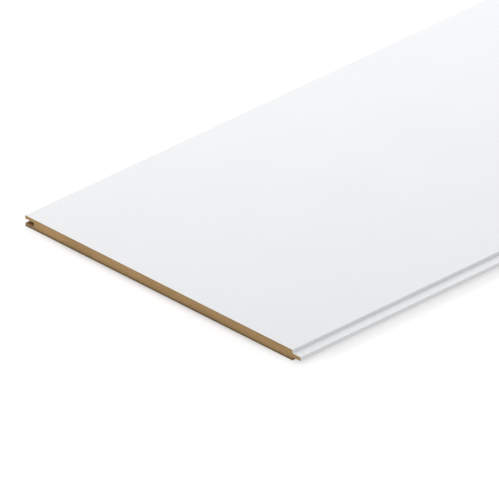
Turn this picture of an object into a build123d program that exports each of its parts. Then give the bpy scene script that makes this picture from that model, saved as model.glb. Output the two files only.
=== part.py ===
from build123d import *
import os

# MDF wall panel: one flat board with a tongue along one long edge and a groove along the other.
# X runs across the board, from the groove to the tongue, Y along it, and Z up.
# The board lies on its back with its finished face up. The origin is on its back, at the middle
# of its whole width and length.

# Board
panel_length = 2600.0
cover_width = 380.0  # what one panel covers: edge of the upper lip to the upper shoulder
thickness = 12.0

# Tongue, in the middle of the thickness
tongue_thickness = 4.4
tongue_reach = 11.5  # from the shoulders to the nose
nose_radius = 0.5

# Groove, which takes the tongue of the next panel
side_clearance = 0.1  # between the tongue and each lip
nose_clearance = 1.0  # between the nose of the tongue and the floor of the groove
lower_lip_setback = 0.4  # keeps the backs apart, so that the finished faces close tight
groove_corner_radius = 0.4
mouth_chamfer = 0.2  # leads the tongue in between the lips

# Eased long edges of the face and the back
face_edge_radius = 0.5
back_edge_chamfer = 0.3

# A rounding or chamfer takes no more than this share of the wall that it is cut on
largest_share = 0.4

# Heights of the tongue and the groove
tongue_low = (thickness - tongue_thickness) / 2
tongue_high = tongue_low + tongue_thickness
groove_low = tongue_low - side_clearance
groove_high = tongue_high + side_clearance
lip_thickness = min(groove_low, thickness - groove_high)
groove_height = groove_high - groove_low

# Places across the board
upper_lip_edge = -(cover_width + tongue_reach) / 2
lower_lip_edge = upper_lip_edge + lower_lip_setback
groove_floor = upper_lip_edge + tongue_reach + nose_clearance
shoulder = upper_lip_edge + cover_width
nose = shoulder + tongue_reach

# Corners of the section, as (across, height)
back_by_groove = (lower_lip_edge, 0)
back_by_tongue = (shoulder, 0)
lower_root = (shoulder, tongue_low)
nose_low = (nose, tongue_low)
nose_high = (nose, tongue_high)
upper_root = (shoulder, tongue_high)
face_by_tongue = (shoulder, thickness)
face_by_groove = (upper_lip_edge, thickness)
upper_mouth = (upper_lip_edge, groove_high)
groove_corner_high = (groove_floor, groove_high)
groove_corner_low = (groove_floor, groove_low)
lower_mouth = (lower_lip_edge, groove_low)


def limited(size, wall):
    return min(size, largest_share * wall)


with BuildPart() as panel:
    with BuildSketch(Plane.XZ) as section:

        def corners(*places):
            return [section.vertices().sort_by_distance(place)[0] for place in places]

        with BuildLine():
            Polyline(
                back_by_groove,
                back_by_tongue,
                lower_root,
                nose_low,
                nose_high,
                upper_root,
                face_by_tongue,
                face_by_groove,
                upper_mouth,
                groove_corner_high,
                groove_corner_low,
                lower_mouth,
                close=True,
            )
        make_face()
        fillet(corners(face_by_groove, face_by_tongue), limited(face_edge_radius, lip_thickness))
        chamfer(corners(back_by_groove, back_by_tongue), limited(back_edge_chamfer, lip_thickness))
        chamfer(corners(upper_mouth, lower_mouth), limited(mouth_chamfer, lip_thickness))
        fillet(corners(nose_low, nose_high), limited(nose_radius, tongue_thickness))
        fillet(
            corners(groove_corner_low, groove_corner_high),
            limited(groove_corner_radius, groove_height),
        )
    extrude(amount=panel_length / 2, both=True)

panel.part.label = "panel"
os.makedirs("parts", exist_ok=True)
export_step(panel.part, "parts/panel.step")
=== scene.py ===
import math
from collections import namedtuple

import bpy
import numpy as np
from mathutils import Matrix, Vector, geometry, noise


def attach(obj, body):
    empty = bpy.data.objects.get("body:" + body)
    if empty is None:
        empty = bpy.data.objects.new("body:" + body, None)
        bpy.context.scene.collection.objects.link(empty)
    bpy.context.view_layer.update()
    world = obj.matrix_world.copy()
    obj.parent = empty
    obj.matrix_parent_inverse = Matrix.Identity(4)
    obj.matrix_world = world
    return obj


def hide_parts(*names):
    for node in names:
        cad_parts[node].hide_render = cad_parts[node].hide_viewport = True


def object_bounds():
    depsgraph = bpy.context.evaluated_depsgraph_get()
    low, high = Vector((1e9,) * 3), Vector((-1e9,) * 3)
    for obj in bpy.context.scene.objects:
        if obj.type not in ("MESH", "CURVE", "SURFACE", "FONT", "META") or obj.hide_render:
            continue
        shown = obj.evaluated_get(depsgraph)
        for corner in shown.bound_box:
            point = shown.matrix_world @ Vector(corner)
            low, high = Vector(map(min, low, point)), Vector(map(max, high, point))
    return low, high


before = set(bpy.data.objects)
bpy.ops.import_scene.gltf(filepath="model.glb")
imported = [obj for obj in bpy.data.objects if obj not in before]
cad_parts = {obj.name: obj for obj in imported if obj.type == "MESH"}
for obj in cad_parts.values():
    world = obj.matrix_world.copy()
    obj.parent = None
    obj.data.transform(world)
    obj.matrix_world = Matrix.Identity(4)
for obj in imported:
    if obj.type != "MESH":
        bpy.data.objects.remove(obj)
cad_low, cad_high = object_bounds()

# The panel lies on the floor with its white face up: X across it, from the groove to the tongue,
# Y along it and Z up. Lengths are in metres, unless a heading says millimetres.
MM = 0.001

# Sizes of the section, in millimetres
TONGUE_REACH = 11.5
TONGUE_THICKNESS = 4.4
NOSE_RADIUS = 0.5
SIDE_CLEARANCE = 0.1
NOSE_CLEARANCE = 1.0
LOWER_LIP_SETBACK = 0.4
GROOVE_CORNER_RADIUS = 0.4
MOUTH_CHAMFER = 0.2
FACE_EDGE_RADIUS = 0.5
BACK_EDGE_CHAMFER = 0.3
COAT_THICKNESS = 0.08

# Fineness of the long sides and of the sawn ends, in millimetres
ROW_PITCH = 20.0  # between the points of a row, which goes round the section
FIRST_ROW = 20.0  # from an end to the row that is next to it
EDGE_PITCH = 1.2  # between the points round an end
END_PITCH = 0.75  # between the points inside an end
END_JITTER = 0.2
END_MARGIN = 0.45
SAME_POINT = 1e-6
ROWS = 14
ARC_STEPS = 6
SHARP_ANGLE_DEG = 32.0

# Relief of the sawn ends, in millimetres. The saw's lean, its drift in turns, and how the finer fibres
# follow from the coarse ones, have no unit.
FIBRE_DEPTH = 0.07
FIBRE_LENGTH = 1.6
FIBRE_HEIGHT = 0.5
FIBRE_FALL = 1.0
FIBRE_GAP = 2.1
FIBRE_OCTAVES = 3
SAW_DEPTH = 0.035
SAW_PITCH = 2.3
SAW_LEAN = 0.35
SAW_DRIFT = 0.4
SAW_DRIFT_LENGTH = 9.0
NEAR_SEED = 3
FAR_SEED = 8

# The map that baked colours are laid on: a strip for each sawn end, and the rest for the long sides
MAP_MARGIN = 0.006
NEAR_STRIP = (0.006, 0.076)
FAR_STRIP = (0.082, 0.152)
SIDES_STRIP = (0.158, 0.994)

# A noise: its features per metre, how much closer they lie along X, Y and Z, how many finer noises are
# added to it, and how strong each of these is beside the one before
Grain = namedtuple("Grain", "fineness closer detail strength")
EVEN = (1.0, 1.0, 1.0)

# White coat. Shades are colours by the value of a noise.
COAT_SHADES = ((0.3, (0.835, 0.845, 0.862)), (0.7, (0.848, 0.857, 0.873)))
COAT_CLOUDS = Grain(14.0, EVEN, 3.0, 0.5)
COAT_ROUGHNESS = (0.50, 0.60)
COAT_PEEL = Grain(700.0, EVEN, 2.0, 0.5)
PEEL_HEIGHT = 0.04 * MM
PEEL_STRENGTH = 0.25
COAT_IOR = 1.48
COAT_SPECULAR = 0.5

# Bare MDF
BARE_IOR = 1.4
BARE_SPECULAR = 0.25
BARE_BUMP_STRENGTH = 0.5
BARE_ROUGHNESS = (0.75, 0.95)

# Its back and its milled sides: fibres drawn out along one line each, under streaks along the board.
# The milled sides are darker than the back: painted shade of the groove and of the notch under the
# tongue, over the milled fibre's own tone.
DRAWN_OUT = (1.0, 5.0, 5.0)
FIBRE_TURNS_DEG = (0.0, 48.0, 94.0, 137.0)
BACK_FIBRE = Grain(420.0, DRAWN_OUT, 4.0, 0.6)
BACK_SHADES = ((0.42, (0.33, 0.205, 0.088)), (0.75, (0.56, 0.375, 0.18)))
BACK_BUMP = 0.06 * MM
MILLED_FIBRE = Grain(520.0, DRAWN_OUT, 4.0, 0.6)
MILLED_SHADED_COLOURS = ((0.42, (0.215, 0.119, 0.043)), (0.75, (0.365, 0.223, 0.092)))
MILLED_BUMP = 0.10 * MM
STREAKS = Grain(900.0, (1.0, 0.02, 1.0), 2.0, 0.5)
STREAK_SHADES = (0.90, 1.06)

# Its sawn ends: fibres in flat layers, and slow changes of density
SAWN_FIBRE = Grain(1050.0, (1.0, 1.0, 4.0), 6.0, 0.7)
SAWN_SHADES = ((0.36, (0.375, 0.225, 0.098)), (0.64, (0.59, 0.39, 0.186)))
SAWN_BUMP = 0.08 * MM
DENSITY = Grain(18.0, (1.0, 1.0, 3.0), 6.0, 0.65)
DENSITY_SHADES = (0.69, 1.34)
# Brightness of the sawn ends by height, from the back to the face, and how far the layers wander.
# The dark band at the back is painted shade where the end meets the floor, over a denser layer of fibre.
SAWN_LAYERS_AND_SHADE = (
    (0.0, 0.40),
    (0.10, 0.44),
    (0.17, 0.70),
    (0.25, 0.87),
    (0.36, 0.95),
    (0.5, 1.0),
    (0.75, 1.0),
    (0.96, 0.95),
    (1.0, 0.85),
)
LAYER_WAVES = Grain(160.0, (1.0, 1.0, 9.0), 4.0, 0.6)
LAYER_WANDER = 0.30

# Camera, fitted to the photograph's edges
LENS_MM = 1700.0
SENSOR_MM = 36.0
AZIMUTH_DEG = 45.842
ELEVATION_DEG = 29.118
AIM_ACROSS = 10.29 * MM
AIM_FROM_NEAR_END = 110.03 * MM
CAMERA_DISTANCE = 23.345
CLIP_START = 0.1
CLIP_END = 70.0

# Light
SKY_HORIZON = 0.40
SKY_ZENITH = 0.913
LAMP_POWER = 6.7
LAMP_LENGTH = 2.4
LAMP_WIDTH = 0.9
LAMP_PLACE = (-0.6, -0.3, 0.8)
LAMP_AIM = (0.0, -0.3, 0.0)

# Floor. What is seen of it is a share of the light that falls on it, and a lift. The lift goes by the
# distance from the board, in millimetres, and paints the shadow near the board: in front of the middle of
# a sawn end, beside a long edge and in front of a sawn end's corners. Along an end, the first gives way
# to the last between two distances from the middle.
FLOOR_HALF_SIZE = 60.0
FLOOR_GREY = 0.95
FLOOR_SEEN_GREY = 0.50
FLOOR_REACH = 120.0
LIFT_AND_SHADOW_BY_ENDS = (
    (0.0, 0.355),
    (1.0, 0.37),
    (2.4, 0.42),
    (4.0, 0.482),
    (5.5, 0.523),
    (9.0, 0.57),
    (15.0, 0.57),
    (FLOOR_REACH, 0.70),
)
LIFT_AND_SHADOW_BY_EDGES = (
    (0.0, 0.58),
    (2.0, 0.55),
    (6.0, 0.512),
    (10.0, 0.512),
    (16.0, 0.57),
    (FLOOR_REACH, 0.70),
)
LIFT_AND_SHADOW_BY_CORNERS = ((0.0, 0.56), (3.0, 0.57), (6.0, 0.59), (15.0, 0.60), (FLOOR_REACH, 0.70))
CORNERS_FROM = 130.0
CORNERS_TO = 184.0
# Beside a long edge, the lift gains this much over the last stretch before a corner, which paints the
# shadow there lighter. The gain is whole from a small distance out.
CORNER_GAIN = 0.09
CORNER_STRETCH = 45.0
CORNER_GAIN_FROM = 2.0
FLOOR_OPENING_MARGIN = 0.1 * MM

COAT_SLOT, BACK_SLOT, MILLED_SHADED_SLOT, SAWN_SLOT = range(4)

Corner = namedtuple("Corner", "x z cut size slot")


def section_corners():
    """The section's corners, anticlockwise seen from the near end.

    Each has the finish of the run to the next one.
    """
    left, right = cad_low.x / MM, cad_high.x / MM
    top = (cad_high.z - cad_low.z) / MM
    shoulder = right - TONGUE_REACH
    lower_lip = left + LOWER_LIP_SETBACK
    groove_floor = left + TONGUE_REACH + NOSE_CLEARANCE
    tongue_low = (top - TONGUE_THICKNESS) / 2
    tongue_high = tongue_low + TONGUE_THICKNESS
    groove_low = tongue_low - SIDE_CLEARANCE
    groove_high = tongue_high + SIDE_CLEARANCE
    return [
        Corner(lower_lip, 0.0, "chamfer", BACK_EDGE_CHAMFER, BACK_SLOT),
        Corner(shoulder, 0.0, "chamfer", BACK_EDGE_CHAMFER, MILLED_SHADED_SLOT),
        Corner(shoulder, tongue_low, "sharp", 0.0, COAT_SLOT),
        Corner(right, tongue_low, "round", NOSE_RADIUS, COAT_SLOT),
        Corner(right, tongue_high, "round", NOSE_RADIUS, COAT_SLOT),
        Corner(shoulder, tongue_high, "sharp", 0.0, COAT_SLOT),
        Corner(shoulder, top, "round", FACE_EDGE_RADIUS, COAT_SLOT),
        Corner(left, top, "round", FACE_EDGE_RADIUS, COAT_SLOT),
        Corner(left, groove_high, "chamfer", MOUTH_CHAMFER, MILLED_SHADED_SLOT),
        Corner(groove_floor, groove_high, "round", GROOVE_CORNER_RADIUS, MILLED_SHADED_SLOT),
        Corner(groove_floor, groove_low, "round", GROOVE_CORNER_RADIUS, MILLED_SHADED_SLOT),
        Corner(lower_lip, groove_low, "chamfer", MOUTH_CHAMFER, MILLED_SHADED_SLOT),
    ]


def cut_corner(before, corner, after):
    """The points that a corner becomes once it is rounded or chamfered."""
    place = np.array([corner.x, corner.z])
    towards_before = np.array([before.x, before.z]) - place
    towards_after = np.array([after.x, after.z]) - place
    towards_before /= np.linalg.norm(towards_before)
    towards_after /= np.linalg.norm(towards_after)
    if corner.cut == "sharp":
        return [place]
    if corner.cut == "chamfer":
        return [place + corner.size * towards_before, place + corner.size * towards_after]
    centre = place + corner.size * (towards_before + towards_after)
    turns = np.linspace(0.0, math.pi / 2, ARC_STEPS + 1)
    return [
        centre - corner.size * (math.cos(t) * towards_after + math.sin(t) * towards_before)
        for t in turns
    ]


def section_outline():
    """The outline's points, and for each the finish of the run to the next one."""
    corners = section_corners()
    points, slots = [], []
    for i, corner in enumerate(corners):
        made = cut_corner(corners[i - 1], corner, corners[(i + 1) % len(corners)])
        points += made
        slots += [corner.slot] * len(made)
    return np.array(points), slots


def finer(points, slots, pitch):
    """The outline with its long runs divided, and the new index of each old point."""
    made, finishes, index = [], [], []
    for i, point in enumerate(points):
        after = points[(i + 1) % len(points)]
        parts = max(1, round(np.linalg.norm(after - point) / pitch))
        index.append(len(made))
        made += [point + (after - point) * k / parts for k in range(parts)]
        finishes += [slots[i]] * parts
    return np.array(made), finishes, index


def lengths_round(points):
    """How far round the outline each point lies, and last the whole way round."""
    runs = np.linalg.norm(np.roll(points, -1, axis=0) - points, axis=1)
    return np.concatenate([[0.0], np.cumsum(runs)])


def map_shares(points, fine):
    """How far round the map, from 0 to 1, the points of the outline and of its divided copy lie.

    A run gets the square root of its length, so that the small faces of the edges get more room.
    """
    lengths = lengths_round(points)
    rooms = np.sqrt(np.diff(lengths))
    shares = np.concatenate([[0.0], np.cumsum(rooms)]) / rooms.sum()
    return shares[:-1], np.interp(lengths_round(fine)[:-1], lengths, shares)


def on_map(across, up, strip):
    """A place on the map, from how far across and up it lies in a strip of it."""
    low, high = strip
    return MAP_MARGIN + (1.0 - 2.0 * MAP_MARGIN) * across, low + (high - low) * up


def inward(points, i):
    """The step from outline point i to the line one unit inside the outline."""
    before, after = points[i] - points[i - 1], points[(i + 1) % len(points)] - points[i]
    normals = [np.array([-d[1], d[0]]) / np.linalg.norm(d) for d in (before, after)]
    return (normals[0] + normals[1]) / (1.0 + normals[0] @ normals[1])


def coat_run(slots):
    """The indices of the points along the coat, from its first to its last."""
    count = len(slots)
    run = [next(i for i in range(count) if slots[i] == COAT_SLOT != slots[i - 1])]
    while slots[run[-1]] == COAT_SLOT:
        run.append((run[-1] + 1) % count)
    return run


def from_zero(wave):
    """A value between -1 and 1, brought between 0 and 1."""
    return 0.5 + 0.5 * wave


def end_depth(x, z, seed):
    """How far the sawn end lies below its rim at a point of it, in millimetres."""
    place = Vector((x / FIBRE_LENGTH, seed, z / FIBRE_HEIGHT))
    fibre = from_zero(noise.fractal(place, FIBRE_FALL, FIBRE_GAP, FIBRE_OCTAVES))
    drift = SAW_DRIFT * noise.noise(Vector((x / SAW_DRIFT_LENGTH, seed, 0.0)))
    turns = (x + SAW_LEAN * z) / SAW_PITCH + drift
    saw = from_zero(math.sin(2.0 * math.pi * turns))
    return FIBRE_DEPTH * min(max(fibre, 0.0), 1.0) + SAW_DEPTH * saw


def clear_of_rim(grid, rim):
    """True for the points that lie inside the rim and not close to it."""
    inside = np.zeros(len(grid), bool)
    nearest = np.full(len(grid), np.inf)
    for a, b in zip(rim, np.roll(rim, -1, axis=0)):
        spans = (a[1] > grid[:, 1]) != (b[1] > grid[:, 1])
        rise = b[1] - a[1] if b[1] != a[1] else 1.0
        crosses = grid[:, 0] < a[0] + (grid[:, 1] - a[1]) * (b[0] - a[0]) / rise
        inside ^= spans & crosses
        run = b - a
        along = np.clip((grid - a) @ run / (run @ run), 0.0, 1.0)
        nearest = np.minimum(nearest, np.linalg.norm(grid - a - along[:, None] * run, axis=1))
    return inside & (nearest > END_MARGIN)


def end_inside(rim, seed):
    """The triangles that fill a sawn end: points, the rim's first, and triples of indices."""
    spread = np.random.default_rng(seed)
    low, high = rim.min(axis=0), rim.max(axis=0)
    columns = np.arange(low[0], high[0], END_PITCH)
    triangle_height = END_PITCH * math.sqrt(3) / 2
    rows = np.arange(low[1], high[1], triangle_height)
    grid = np.array([(x + END_PITCH / 2 * (j % 2), z) for j, z in enumerate(rows) for x in columns])
    grid += spread.uniform(-END_JITTER, END_JITTER, grid.shape)
    grid = grid[clear_of_rim(grid, rim)]
    places = [Vector(p) for p in np.vstack([rim, grid])]
    ring = list(range(len(rim)))
    inside_only = 1
    made, _, triangles, *_ = geometry.delaunay_2d_cdt(places, [], [ring], inside_only, SAME_POINT)
    return np.array([tuple(p) for p in made]), triangles


class Board:
    """Collects the board's vertices and faces, with each face's finish and its place on the map."""

    def __init__(self):
        self.vertices, self.shares = [], []
        self.faces, self.slots, self.places = [], [], []

    def add(self, points, y, shares=0.0):
        """Adds section points, in millimetres, at one place or several along the board."""
        first = len(self.vertices)
        along = np.broadcast_to(y, len(points))
        self.vertices += [(x * MM, at, cad_low.z + z * MM) for (x, z), at in zip(points, along)]
        self.shares += list(np.broadcast_to(shares, len(points)))
        return list(range(first, len(self.vertices)))

    def face(self, corners, slot, turned=False, on_end=False):
        """Adds a face by the indices of its corners, whose order is turned if it would face inwards."""
        corners = corners[::-1] if turned else corners
        self.faces.append(corners)
        self.slots.append(slot)
        self.places += self.end_places(corners) if on_end else self.side_places(corners)

    def fan(self, whole, divided, slot, turned):
        """Triangles between an edge in one piece and the same edge divided."""
        first, last = whole
        middle = len(divided) // 2
        self.face([first, divided[middle], last], slot, turned)
        for k in range(len(divided) - 1):
            tip = first if k < middle else last
            self.face([tip, divided[k], divided[k + 1]], slot, turned)

    def side_places(self, corners):
        """A face of the long sides on the map: across it round the section, and up it along the board.

        The last face round the section ends at the first point, which is a whole turn on for it.
        """
        half_turn, whole_turn = 0.5, 1.0
        shares = np.array([self.shares[i] for i in corners])
        if np.ptp(shares) > half_turn:
            shares[shares < half_turn] += whole_turn
        length = cad_high.y - cad_low.y
        along = [(self.vertices[i][1] - cad_low.y) / length for i in corners]
        return [on_map(share, up, SIDES_STRIP) for share, up in zip(shares, along)]

    def end_places(self, corners):
        """A face of a sawn end on its strip of the map: across the board, and up it."""
        made = []
        size = cad_high - cad_low
        for x, y, z in (self.vertices[i] for i in corners):
            strip = NEAR_STRIP if y < 0.0 else FAR_STRIP
            made.append(on_map((x - cad_low.x) / size.x, (z - cad_low.z) / size.z, strip))
        return made

    def mesh(self, name):
        """The finished mesh, with smooth faces up to the sharp edges."""
        made = bpy.data.meshes.new(name)
        made.from_pydata(self.vertices, [], self.faces)
        made.polygons.foreach_set("material_index", self.slots)
        made.polygons.foreach_set("use_smooth", [True] * len(self.faces))
        bake_map = made.uv_layers.new(name="OFBake")
        bake_map.uv.foreach_set("vector", np.ravel(self.places).astype(np.float32))
        made.set_sharp_from_angle(angle=math.radians(SHARP_ANGLE_DEG))
        made.validate()
        return made


def add_end(board, fine, slots, ring, y, inwards, seed):
    """Closes the board at y: the coat's cut edge, and inside it the sawn core with its relief."""
    turned = inwards < 0
    run = coat_run(slots)
    offset = np.array([fine[i] + COAT_THICKNESS * inward(fine, i) for i in run])
    inner = board.add(offset, y)
    for k in range(len(run) - 1):
        corners = [ring[run[k]], ring[run[k + 1]], inner[k + 1], inner[k]]
        board.face(corners, COAT_SLOT, turned, on_end=True)
    count = len(fine)
    bare = [i % count for i in range(run[-1], run[0] + count + 1)]
    rim = np.vstack([fine[bare], offset])
    places, triangles = end_inside(rim, seed)
    core = places[len(rim):]
    depths = np.array([end_depth(x, z, seed) for x, z in core])
    vertices = [ring[i] for i in bare] + inner + board.add(core, y + inwards * depths * MM)
    for triangle in triangles:
        board.face([vertices[i] for i in triangle], SAWN_SLOT, turned, on_end=True)


def build_board():
    """The whole board as one closed mesh: the long sides in rows, and a fine mesh at each end."""
    board = Board()
    points, slots, _ = finer(*section_outline(), ROW_PITCH)
    fine, fine_slots, index = finer(points, slots, EDGE_PITCH)
    shares, fine_shares = map_shares(points, fine)
    near, far = cad_low.y, cad_high.y
    near_ring = board.add(fine, near, fine_shares)
    far_ring = board.add(fine, far, fine_shares)
    stations = np.linspace(near + FIRST_ROW * MM, far - FIRST_ROW * MM, ROWS)
    rows = [board.add(points, y, shares) for y in stations]
    count = len(points)
    for i in range(count):
        j = (i + 1) % count
        stretch = [k % len(fine) for k in range(index[i], (index[j] or len(fine)) + 1)]
        board.fan((rows[0][i], rows[0][j]), [near_ring[k] for k in stretch], slots[i], True)
        board.fan((rows[-1][i], rows[-1][j]), [far_ring[k] for k in stretch], slots[i], False)
        for low, high in zip(rows, rows[1:]):
            board.face([low[j], low[i], high[i], high[j]], slots[i])
    add_end(board, fine, fine_slots, near_ring, near, 1.0, NEAR_SEED)
    add_end(board, fine, fine_slots, far_ring, far, -1.0, FAR_SEED)
    return board.mesh("wall_panel")


def node(tree, kind, inputs, **settings):
    """Adds a node. An input that is given as a socket is linked, and any other is set."""
    made = tree.nodes.new(kind)
    for name, value in settings.items():
        setattr(made, name, value)
    for name, value in inputs.items():
        if isinstance(value, bpy.types.NodeSocket):
            tree.links.new(value, made.inputs[name])
        else:
            made.inputs[name].default_value = value
    return made


def new_surface(name, ior, specular):
    """A material with a shader, and its object coordinates."""
    material = bpy.data.materials.new(name)
    material.use_nodes = True
    tree = material.node_tree
    tree.nodes.clear()
    shader = node(tree, "ShaderNodeBsdfPrincipled", {"IOR": ior, "Specular IOR Level": specular})
    node(tree, "ShaderNodeOutputMaterial", {"Surface": shader.outputs["BSDF"]})
    place = node(tree, "ShaderNodeTexCoord", {}).outputs["Object"]
    return material, tree, shader, place


def cloudy(tree, place, grain):
    """The noise of a grain, from 0 to 1."""
    scaled = node(tree, "ShaderNodeMapping", {"Vector": place, "Scale": grain.closer}).outputs["Vector"]
    values = {
        "Vector": scaled,
        "Scale": grain.fineness,
        "Detail": grain.detail,
        "Roughness": grain.strength,
    }
    return node(tree, "ShaderNodeTexNoise", values).outputs["Fac"]


def step(tree, operation, first, second):
    """The result of one calculation with two numbers."""
    return node(tree, "ShaderNodeMath", {0: first, 1: second}, operation=operation).outputs["Value"]


def vector_step(tree, operation, *values):
    """The outputs of one calculation with vectors."""
    return node(tree, "ShaderNodeVectorMath", dict(enumerate(values)), operation=operation).outputs


def ranged(tree, value, low, high, from_low=0.0, from_high=1.0):
    """A value carried over from one range to another, and held at the ends of it."""
    values = {
        "Value": value,
        "From Min": from_low,
        "From Max": from_high,
        "To Min": low,
        "To Max": high,
    }
    return node(tree, "ShaderNodeMapRange", values).outputs["Result"]


def ramp(tree, value, stops):
    """The colours of stops, each (place, colour), along a value from 0 to 1."""
    made = node(tree, "ShaderNodeValToRGB", {"Fac": value})
    elements = made.color_ramp.elements
    for position, colour in stops[1:-1]:
        elements.new(position).color = (*colour, 1.0)
    for element, (position, colour) in ((elements[0], stops[0]), (elements[-1], stops[-1])):
        element.position = position
        element.color = (*colour, 1.0)
    return made.outputs["Color"]


def grey_ramp(tree, value, stops):
    """The greys of stops, each (place, grey), along a value from 0 to 1."""
    return ramp(tree, value, [(place, (grey, grey, grey)) for place, grey in stops])


def times(tree, colour, other):
    """The product of two colours, or of a colour and a grey value."""
    values = {"Factor": 1.0, "A": colour, "B": other}
    product = node(tree, "ShaderNodeMix", values, data_type="RGBA", blend_type="MULTIPLY")
    return product.outputs["Result"]


def finish_surface(tree, shader, colour, roughness, height, bump_height, bump_strength):
    """Links a colour, a roughness and a bump to the shader."""
    values = {"Height": height, "Distance": bump_height, "Strength": bump_strength}
    bump = node(tree, "ShaderNodeBump", values).outputs["Normal"]
    tree.links.new(colour, shader.inputs["Base Color"])
    tree.links.new(roughness, shader.inputs["Roughness"])
    tree.links.new(bump, shader.inputs["Normal"])


def coat_material():
    """White satin factory paint, rolled on: faint peel in the surface and slightly uneven gloss."""
    material, tree, shader, place = new_surface("white_coat", COAT_IOR, COAT_SPECULAR)
    colour = ramp(tree, cloudy(tree, place, COAT_CLOUDS), COAT_SHADES)
    peel = cloudy(tree, place, COAT_PEEL)
    roughness = ranged(tree, peel, *COAT_ROUGHNESS)
    finish_surface(tree, shader, colour, roughness, peel, PEEL_HEIGHT, PEEL_STRENGTH)
    return material


def pressed_fibres(tree, place, grain):
    """Fibres that lie flat in the board, each way: the strongest of some noises, each turned its way."""
    found = None
    for turn in FIBRE_TURNS_DEG:
        values = {"Vector": place, "Angle": math.radians(turn)}
        turned = node(tree, "ShaderNodeVectorRotate", values, rotation_type="Z_AXIS")
        fibres = cloudy(tree, turned.outputs["Vector"], grain)
        found = fibres if found is None else step(tree, "MAXIMUM", found, fibres)
    return found


def lengthwise_material(name, shades, grain, bump_height):
    """Bare MDF that was worked along the board: pressed fibres under fine lengthwise streaks."""
    material, tree, shader, place = new_surface(name, BARE_IOR, BARE_SPECULAR)
    fibre = pressed_fibres(tree, place, grain)
    streaks = cloudy(tree, place, STREAKS)
    colour = times(tree, ramp(tree, fibre, shades), ranged(tree, streaks, *STREAK_SHADES))
    roughness = ranged(tree, fibre, *BARE_ROUGHNESS)
    finish_surface(tree, shader, colour, roughness, fibre, bump_height, BARE_BUMP_STRENGTH)
    return material


def sawn_material():
    """The sawn ends: flat layers of fibre, pale in the middle, and darker towards the back, where the
    fibre is denser and painted shade of the floor contact lies.
    """
    material, tree, shader, place = new_surface("sawn_mdf", BARE_IOR, BARE_SPECULAR)
    fibre = cloudy(tree, place, SAWN_FIBRE)
    z = node(tree, "ShaderNodeSeparateXYZ", {"Vector": place}).outputs["Z"]
    height = ranged(tree, z, 0.0, 1.0, cad_low.z, cad_high.z)
    wander = ranged(tree, cloudy(tree, place, LAYER_WAVES), -LAYER_WANDER / 2, LAYER_WANDER / 2)
    height = step(tree, "ADD", height, wander)
    # The layers' brightness holds painted shade of the floor contact at the back, besides the denser
    # fibre there.
    layers = grey_ramp(tree, height, SAWN_LAYERS_AND_SHADE)
    density = times(tree, layers, ranged(tree, cloudy(tree, place, DENSITY), *DENSITY_SHADES))
    colour = times(tree, ramp(tree, fibre, SAWN_SHADES), density)
    roughness = ranged(tree, fibre, *BARE_ROUGHNESS)
    finish_surface(tree, shader, colour, roughness, fibre, SAWN_BUMP, BARE_BUMP_STRENGTH)
    return material


def make_panel():
    """The dressed panel, which stands for the plain one."""
    panel = bpy.data.objects.new("wall_panel", build_board())
    bpy.context.scene.collection.objects.link(panel)
    back = lengthwise_material("sanded_mdf", BACK_SHADES, BACK_FIBRE, BACK_BUMP)
    milled = lengthwise_material("milled_mdf_shaded", MILLED_SHADED_COLOURS, MILLED_FIBRE, MILLED_BUMP)
    for material in (coat_material(), back, milled, sawn_material()):
        panel.data.materials.append(material)
    weighted = panel.modifiers.new("flat_faces_stay_flat", "WEIGHTED_NORMAL")
    weighted.keep_sharp = True
    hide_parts("panel")
    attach(panel, "root")


def seen_directly(tree):
    """1 for rays from the camera, a mirror or a glass, and 0 for those that carry light."""
    path = node(tree, "ShaderNodeLightPath", {}).outputs
    found = path["Is Camera Ray"]
    for other in ("Is Glossy Ray", "Is Transmission Ray"):
        found = step(tree, "MAXIMUM", found, path[other])
    return found


def floor_lift_and_shadow(tree):
    """What is seen of the floor besides the light that falls on it, by the distance from the board: a
    glow with a painted shadow near the board.
    """
    place = node(tree, "ShaderNodeTexCoord", {}).outputs["Object"]
    folded = vector_step(tree, "ABSOLUTE", place)["Vector"]
    past = vector_step(tree, "SUBTRACT", folded, (cad_high.x, cad_high.y, 0.0))["Vector"]
    outside = vector_step(tree, "MAXIMUM", past, (0.0, 0.0, 0.0))["Vector"]
    distance = vector_step(tree, "LENGTH", outside)["Value"]
    share = step(tree, "DIVIDE", distance, FLOOR_REACH * MM)
    by_ends, by_corners, by_edges = (
        grey_ramp(tree, share, [(at / FLOOR_REACH, lift) for at, lift in lifts])
        for lifts in (LIFT_AND_SHADOW_BY_ENDS, LIFT_AND_SHADOW_BY_CORNERS, LIFT_AND_SHADOW_BY_EDGES)
    )
    from_middle = node(tree, "ShaderNodeSeparateXYZ", {"Vector": folded}).outputs
    corners_from, corners_to = CORNERS_FROM * MM, CORNERS_TO * MM
    in_front = ranged(tree, from_middle["X"], by_ends, by_corners, corners_from, corners_to)
    stretch_start = cad_high.y - CORNER_STRETCH * MM
    gain = ranged(tree, from_middle["Y"], 0.0, CORNER_GAIN, stretch_start, cad_high.y)
    parts = node(tree, "ShaderNodeSeparateXYZ", {"Vector": outside}).outputs
    gain = ranged(tree, parts["X"], 0.0, gain, 0.0, CORNER_GAIN_FROM * MM)
    beside = step(tree, "ADD", by_edges, gain)
    share_in_front = step(tree, "DIVIDE", parts["Y"], step(tree, "ADD", parts["X"], parts["Y"]))
    return ranged(tree, share_in_front, beside, in_front)


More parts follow.
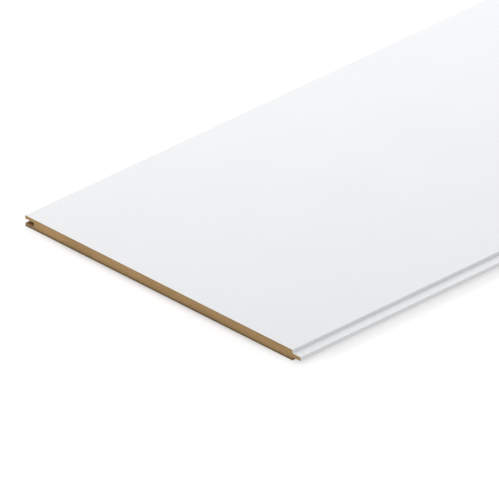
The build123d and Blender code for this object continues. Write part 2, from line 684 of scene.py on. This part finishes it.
def floor_material():
    """White paper, which lights the board as it is and is seen with a lift that paints its shadow near
    the board, and clear from below.
    """
    material = bpy.data.materials.new("floor_white")
    material.use_nodes = True
    tree = material.node_tree
    tree.nodes.clear()
    seen = seen_directly(tree)
    grey = ranged(tree, seen, FLOOR_GREY, FLOOR_SEEN_GREY)
    diffuse = node(tree, "ShaderNodeBsdfDiffuse", {"Color": grey}).outputs["BSDF"]
    strength = step(tree, "MULTIPLY", seen, floor_lift_and_shadow(tree))
    glow_and_shadow = node(tree, "ShaderNodeEmission", {"Strength": strength}).outputs["Emission"]
    paper = node(tree, "ShaderNodeAddShader", {0: diffuse, 1: glow_and_shadow}).outputs["Shader"]
    clear = node(tree, "ShaderNodeBsdfTransparent", {}).outputs["BSDF"]
    below = node(tree, "ShaderNodeNewGeometry", {}).outputs["Backfacing"]
    both = node(tree, "ShaderNodeMixShader", {0: below, 1: paper, 2: clear}).outputs["Shader"]
    node(tree, "ShaderNodeOutputMaterial", {"Surface": both})
    return material


def make_floor():
    """A plain white floor, open under the board, so that the back gets light and shows from below."""
    margin = FLOOR_OPENING_MARGIN + BACK_EDGE_CHAMFER * MM
    left = cad_low.x + LOWER_LIP_SETBACK * MM + margin
    right = cad_high.x - TONGUE_REACH * MM - margin
    near, far = cad_low.y + FLOOR_OPENING_MARGIN, cad_high.y - FLOOR_OPENING_MARGIN
    size = FLOOR_HALF_SIZE
    outer = [(-size, -size, 0.0), (size, -size, 0.0), (size, size, 0.0), (-size, size, 0.0)]
    opening = [(left, near, 0.0), (right, near, 0.0), (right, far, 0.0), (left, far, 0.0)]
    count = len(outer)
    sides = [(i, (i + 1) % count) for i in range(count)]
    mesh = bpy.data.meshes.new("floor")
    mesh.from_pydata(outer + opening, [], [(i, j, count + j, count + i) for i, j in sides])
    mesh.materials.append(floor_material())
    floor = bpy.data.objects.new("floor", mesh)
    floor.location.z = cad_low.z
    bpy.context.scene.collection.objects.link(floor)


def make_light():
    """A sky and one long soft lamp.

    The sky is brighter overhead and below, and white where it is seen or mirrored.
    """
    world = bpy.data.worlds.new("studio")
    bpy.context.scene.world = world
    world.use_nodes = True
    tree = world.node_tree
    tree.nodes.clear()
    white = (1.0, 1.0, 1.0, 1.0)
    direction = node(tree, "ShaderNodeTexCoord", {}).outputs["Generated"]
    up = node(tree, "ShaderNodeSeparateXYZ", {"Vector": direction}).outputs["Z"]
    steepness = node(tree, "ShaderNodeMath", {0: up}, operation="ABSOLUTE").outputs["Value"]
    light = ranged(tree, steepness, SKY_HORIZON, SKY_ZENITH)
    strength = ranged(tree, seen_directly(tree), light, 1.0)
    sky = node(tree, "ShaderNodeBackground", {"Color": white, "Strength": strength})
    node(tree, "ShaderNodeOutputWorld", {"Surface": sky.outputs["Background"]})

    data = bpy.data.lights.new("softbox", "AREA")
    data.shape = "RECTANGLE"
    data.size = LAMP_LENGTH
    data.size_y = LAMP_WIDTH
    data.energy = LAMP_POWER
    lamp = bpy.data.objects.new("softbox", data)
    lamp.location = LAMP_PLACE
    towards = Vector(LAMP_AIM) - Vector(LAMP_PLACE)
    lamp.rotation_euler = towards.to_track_quat("-Z", "Y").to_euler()
    bpy.context.scene.collection.objects.link(lamp)


def make_camera():
    """The photograph's view, which is almost parallel: a very long lens from far away."""
    azimuth, elevation = math.radians(AZIMUTH_DEG), math.radians(ELEVATION_DEG)
    back = Vector((
        math.sin(azimuth) * math.cos(elevation),
        -math.cos(azimuth) * math.cos(elevation),
        math.sin(elevation),
    ))
    aim = Vector((AIM_ACROSS, cad_low.y + AIM_FROM_NEAR_END, cad_high.z))
    data = bpy.data.cameras.new("camera")
    data.lens = LENS_MM
    data.sensor_width = SENSOR_MM
    data.clip_start = CLIP_START
    data.clip_end = CLIP_END
    camera = bpy.data.objects.new("camera", data)
    camera.location = aim + back * CAMERA_DISTANCE
    camera.rotation_euler = (-back).to_track_quat("-Z", "Y").to_euler()
    bpy.context.scene.collection.objects.link(camera)
    bpy.context.scene.camera = camera


make_panel()
make_floor()
make_light()
make_camera()
bpy.context.scene.view_settings.view_transform = "Standard"
